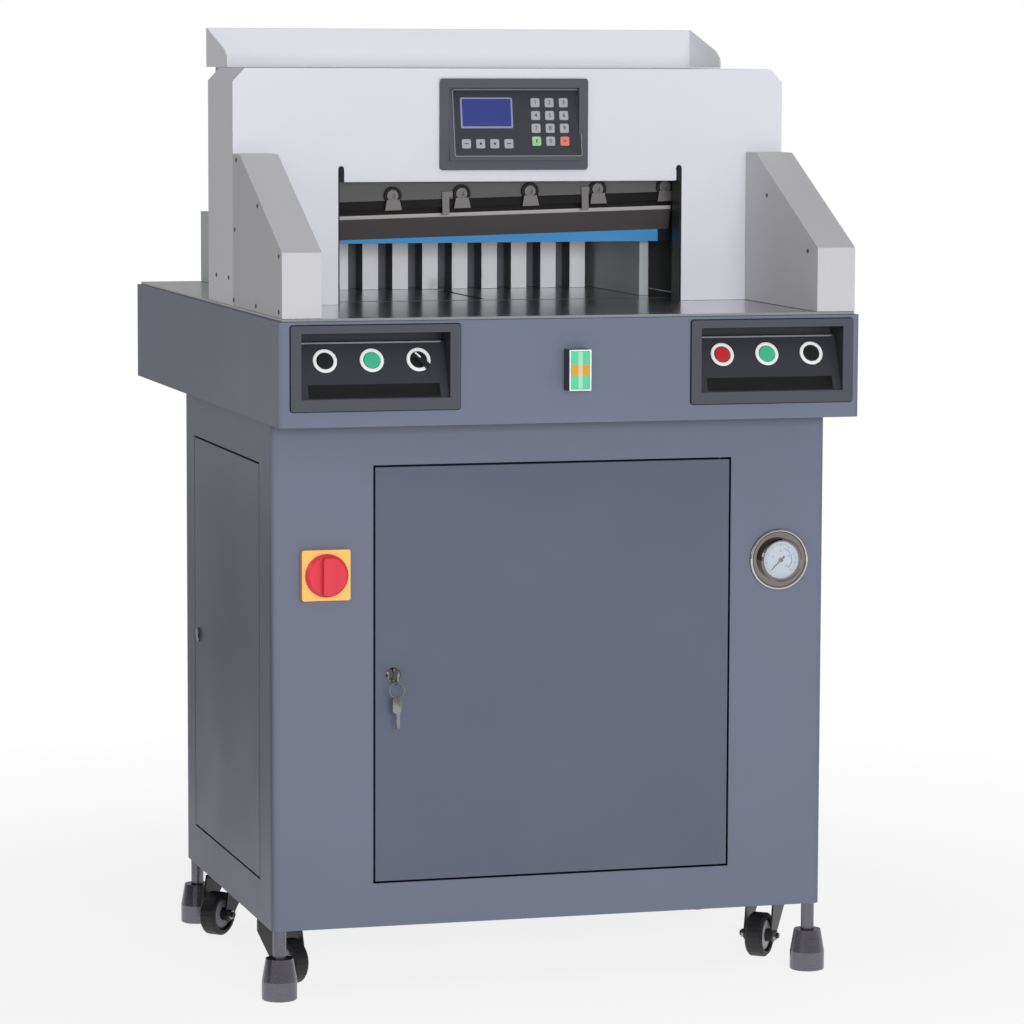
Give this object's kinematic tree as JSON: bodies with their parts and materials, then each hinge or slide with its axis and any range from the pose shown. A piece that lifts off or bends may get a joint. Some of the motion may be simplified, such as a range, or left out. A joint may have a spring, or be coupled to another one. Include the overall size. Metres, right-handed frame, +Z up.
{
  "type": "hydraulic paper cutter",
  "caption": "Floor-standing hydraulic guillotine for paper: cabinet on feet and casters, polished table, knife and clamp in a head, back gauge, two-hand controls.",
  "frame": {"origin": "on the floor, under the middle of the machine's outer box", "axes": "+Z up, -Y towards the operator, +X to the operator's right"},
  "size_m": [0.8, 0.988, 1.2968],
  "materials": {
    "blue_grey_paint": "satin powder coat",
    "pale_paint": "satin powder coat",
    "guard_paint": "satin powder coat",
    "table_steel": "ground and polished",
    "frame_enamel": "enamel",
    "black_enamel": "enamel",
    "black_plastic": "moulded",
    "grey_plastic": "moulded",
    "chrome": "bright",
    "nickel": "nickel plated",
    "dark_steel": "oxidised, turned",
    "knife_steel": "ground",
    "clamp_blue": "moulded",
    "gauge_aluminium": "machined",
    "yellow_plastic": "moulded",
    "red_plastic": "moulded",
    "green_plastic": "moulded",
    "tyre_rubber": "moulded",
    "stick_plastic": "moulded",
    "needle_enamel": "enamel"
  },
  "bodies": {
    "machine": {"cabinet_shell": "blue_grey_paint", "cabinet_base": "blue_grey_paint", "front_door_hinge": "dark_steel", "main_switch_plate": "yellow_plastic", "pressure_gauge_case": "chrome", "table_apron": "blue_grey_paint", "work_table": "table_steel", "bed_frame": "frame_enamel", "head_frame": "frame_enamel", "cutting_stick": "stick_plastic", "left_control_panel": "grey_plastic", "right_control_panel": "grey_plastic", "rocker_switch_body": "black_plastic", "head_front_panel": "pale_paint", "head_cover": "pale_paint", "top_tray": "pale_paint", "rear_housing": "pale_paint", "rear_table_cover": "pale_paint", "console_housing": "grey_plastic", "left_hand_guard": "guard_paint", "right_hand_guard": "guard_paint", "throat_liner": "black_plastic", "knife_cylinder": "dark_steel", "clamp_cylinder": "dark_steel", "hydraulic_tank": "frame_enamel", "pump_motor": "blue_grey_paint"},
    "front_door": {"front_door": "blue_grey_paint"},
    "front_lock": {"front_door_lock": "chrome", "front_door_key": "nickel"},
    "side_door": {"left_side_door": "blue_grey_paint"},
    "side_lock": {"left_side_door_lock": "chrome"},
    "main_switch_knob": {"main_switch_knob": "red_plastic"},
    "gauge_needle": {"pressure_gauge_needle": "needle_enamel"},
    "front_left_foot": {"front_left_levelling_foot": "dark_steel"},
    "front_right_foot": {"front_right_levelling_foot": "dark_steel"},
    "rear_left_foot": {"rear_left_levelling_foot": "dark_steel"},
    "rear_right_foot": {"rear_right_levelling_foot": "dark_steel"},
    "front_left_caster": {"front_left_caster_fork": "black_enamel"},
    "front_right_caster": {"front_right_caster_fork": "black_enamel"},
    "rear_left_caster": {"rear_left_caster_fork": "black_enamel"},
    "rear_right_caster": {"rear_right_caster_fork": "black_enamel"},
    "front_left_wheel": {"front_left_caster_wheel": "tyre_rubber"},
    "front_right_wheel": {"front_right_caster_wheel": "tyre_rubber"},
    "rear_left_wheel": {"rear_left_caster_wheel": "tyre_rubber"},
    "rear_right_wheel": {"rear_right_caster_wheel": "tyre_rubber"},
    "left_black_button": {"left_black_button": "black_plastic"},
    "left_green_button": {"left_green_button": "green_plastic"},
    "selector": {"left_selector_knob": "black_plastic"},
    "right_red_button": {"right_red_button": "red_plastic"},
    "right_green_button": {"right_green_button": "green_plastic"},
    "right_black_button": {"right_black_button": "black_plastic"},
    "rocker_key": {"rocker_switch_key": "green_plastic"},
    "knife_pull": {"knife_rod": "dark_steel"},
    "knife": {"knife_beam": "frame_enamel", "knife_blade": "knife_steel"},
    "clamp": {"clamp_beam": "frame_enamel", "clamp_strip": "clamp_blue", "clamp_yoke": "frame_enamel"},
    "back_gauge": {"back_gauge": "gauge_aluminium"},
    "gauge_screw": {"gauge_screw": "dark_steel"}
  },
  "joints": [
    {"name": "front_door_swing", "type": "hinge", "parent": "machine", "child": "front_door", "pos_m": [0.24, -0.357, 0.435], "axis": [0, 0, 1], "range_deg": [0, 90]},
    {"name": "front_lock_turn", "type": "hinge", "parent": "front_door", "child": "front_lock", "pos_m": [-0.2215, -0.369, 0.435], "axis": [0, 1, 0], "range_deg": [0, 90]},
    {"name": "side_door_swing", "type": "hinge", "parent": "machine", "child": "side_door", "pos_m": [-0.3757, -0.2825, 0.4345], "axis": [0, 0, 1], "range_deg": [0, 90]},
    {"name": "side_lock_turn", "type": "hinge", "parent": "side_door", "child": "side_lock", "pos_m": [-0.3877, 0.103, 0.4335], "axis": [1, 0, 0], "range_deg": [0, 90]},
    {"name": "main_switch_turn", "type": "hinge", "parent": "machine", "child": "main_switch_knob", "pos_m": [-0.3157, -0.3806, 0.573], "axis": [0, 1, 0], "range_deg": [0, 90]},
    {"name": "gauge_needle_turn", "type": "hinge", "parent": "machine", "child": "gauge_needle", "pos_m": [0.3225, -0.3776, 0.575], "axis": [0, 1, 0], "range_deg": [0, 270]},
    {"name": "front_left_foot_screw", "type": "slide", "parent": "machine", "child": "front_left_foot", "axis": [0, 0, -1], "range_m": [0, 0.02]},
    {"name": "front_right_foot_screw", "type": "slide", "parent": "machine", "child": "front_right_foot", "axis": [0, 0, -1], "range_m": [0, 0.02]},
    {"name": "rear_left_foot_screw", "type": "slide", "parent": "machine", "child": "rear_left_foot", "axis": [0, 0, -1], "range_m": [0, 0.02]},
    {"name": "rear_right_foot_screw", "type": "slide", "parent": "machine", "child": "rear_right_foot", "axis": [0, 0, -1], "range_m": [0, 0.02]},
    {"name": "front_left_caster_swivel", "type": "hinge", "parent": "machine", "child": "front_left_caster", "pos_m": [-0.351, -0.248, 0.0865], "axis": [0, 0, 1], "continuous": true},
    {"name": "front_right_caster_swivel", "type": "hinge", "parent": "machine", "child": "front_right_caster", "pos_m": [0.351, -0.248, 0.0865], "axis": [0, 0, 1], "continuous": true},
    {"name": "rear_left_caster_swivel", "type": "hinge", "parent": "machine", "child": "rear_left_caster", "pos_m": [-0.351, 0.092, 0.0865], "axis": [0, 0, 1], "continuous": true},
    {"name": "rear_right_caster_swivel", "type": "hinge", "parent": "machine", "child": "rear_right_caster", "pos_m": [0.351, 0.092, 0.0865], "axis": [0, 0, 1], "continuous": true},
    {"name": "front_left_wheel_roll", "type": "hinge", "parent": "front_left_caster", "child": "front_left_wheel", "pos_m": [-0.34193, -0.27022, 0.0325], "axis": [0.9259, 0.3778, 0], "continuous": true},
    {"name": "front_right_wheel_roll", "type": "hinge", "parent": "front_right_caster", "child": "front_right_wheel", "pos_m": [0.33609, -0.26681, 0.0325], "axis": [0.7837, -0.6211, 0], "continuous": true},
    {"name": "rear_left_wheel_roll", "type": "hinge", "parent": "rear_left_caster", "child": "rear_left_wheel", "pos_m": [-0.368, 0.07506, 0.0325], "axis": [0.7059, -0.7083, 0], "continuous": true},
    {"name": "rear_right_wheel_roll", "type": "hinge", "parent": "rear_right_caster", "child": "rear_right_wheel", "pos_m": [0.35921, 0.06945, 0.0325], "axis": [0.9397, 0.342, 0], "continuous": true},
    {"name": "left_black_button_press", "type": "slide", "parent": "machine", "child": "left_black_button", "axis": [0, 0.9205, -0.3907], "range_m": [0, 0.004], "stiffness_N_per_m": 500},
    {"name": "left_green_button_press", "type": "slide", "parent": "machine", "child": "left_green_button", "axis": [0, 0.9205, -0.3907], "range_m": [0, 0.004], "stiffness_N_per_m": 500},
    {"name": "selector_turn", "type": "hinge", "parent": "machine", "child": "selector", "pos_m": [-0.2076, -0.44562, 0.862], "axis": [0, 0.9205, -0.3907], "range_deg": [0, 90]},
    {"name": "right_red_button_press", "type": "slide", "parent": "machine", "child": "right_red_button", "axis": [0, 0.9205, -0.3907], "range_m": [0, 0.004], "stiffness_N_per_m": 500},
    {"name": "right_green_button_press", "type": "slide", "parent": "machine", "child": "right_green_button", "axis": [0, 0.9205, -0.3907], "range_m": [0, 0.004], "stiffness_N_per_m": 500},
    {"name": "right_black_button_press", "type": "slide", "parent": "machine", "child": "right_black_button", "axis": [0, 0.9205, -0.3907], "range_m": [0, 0.004], "stiffness_N_per_m": 500},
    {"name": "rocker_tilt", "type": "hinge", "parent": "machine", "child": "rocker_key", "pos_m": [0, -0.4883, 0.8483], "axis": [1, 0, 0], "range_deg": [-5, 5]},
    {"name": "knife_stroke", "type": "slide", "parent": "machine", "child": "knife_pull", "axis": [0, 0, -1], "range_m": [0, 0.0833]},
    {"name": "knife_levelling", "type": "hinge", "parent": "knife_pull", "child": "knife", "pos_m": [-0.285, -0.1134, 1.095], "axis": [0, 1, 0], "range_deg": [0, 1.5]},
    {"name": "clamp_stroke", "type": "slide", "parent": "machine", "child": "clamp", "axis": [0, 0, -1], "range_m": [0, 0.079]},
    {"name": "back_gauge_slide", "type": "slide", "parent": "machine", "child": "back_gauge", "axis": [0, 1, 0], "range_m": [-0.19, 0.19]},
    {"name": "gauge_screw_turn", "type": "hinge", "parent": "machine", "child": "gauge_screw", "pos_m": [-0.015, -0.0727, 0.9], "axis": [0, 1, 0], "continuous": true}
  ],
  "couplings": [
    {"joint": "knife_levelling", "follows": "knife_stroke", "rad_per_m": 0.3142},
    {"joint": "gauge_screw_turn", "follows": "back_gauge_slide", "rad_per_m": 628.32}
  ]
}
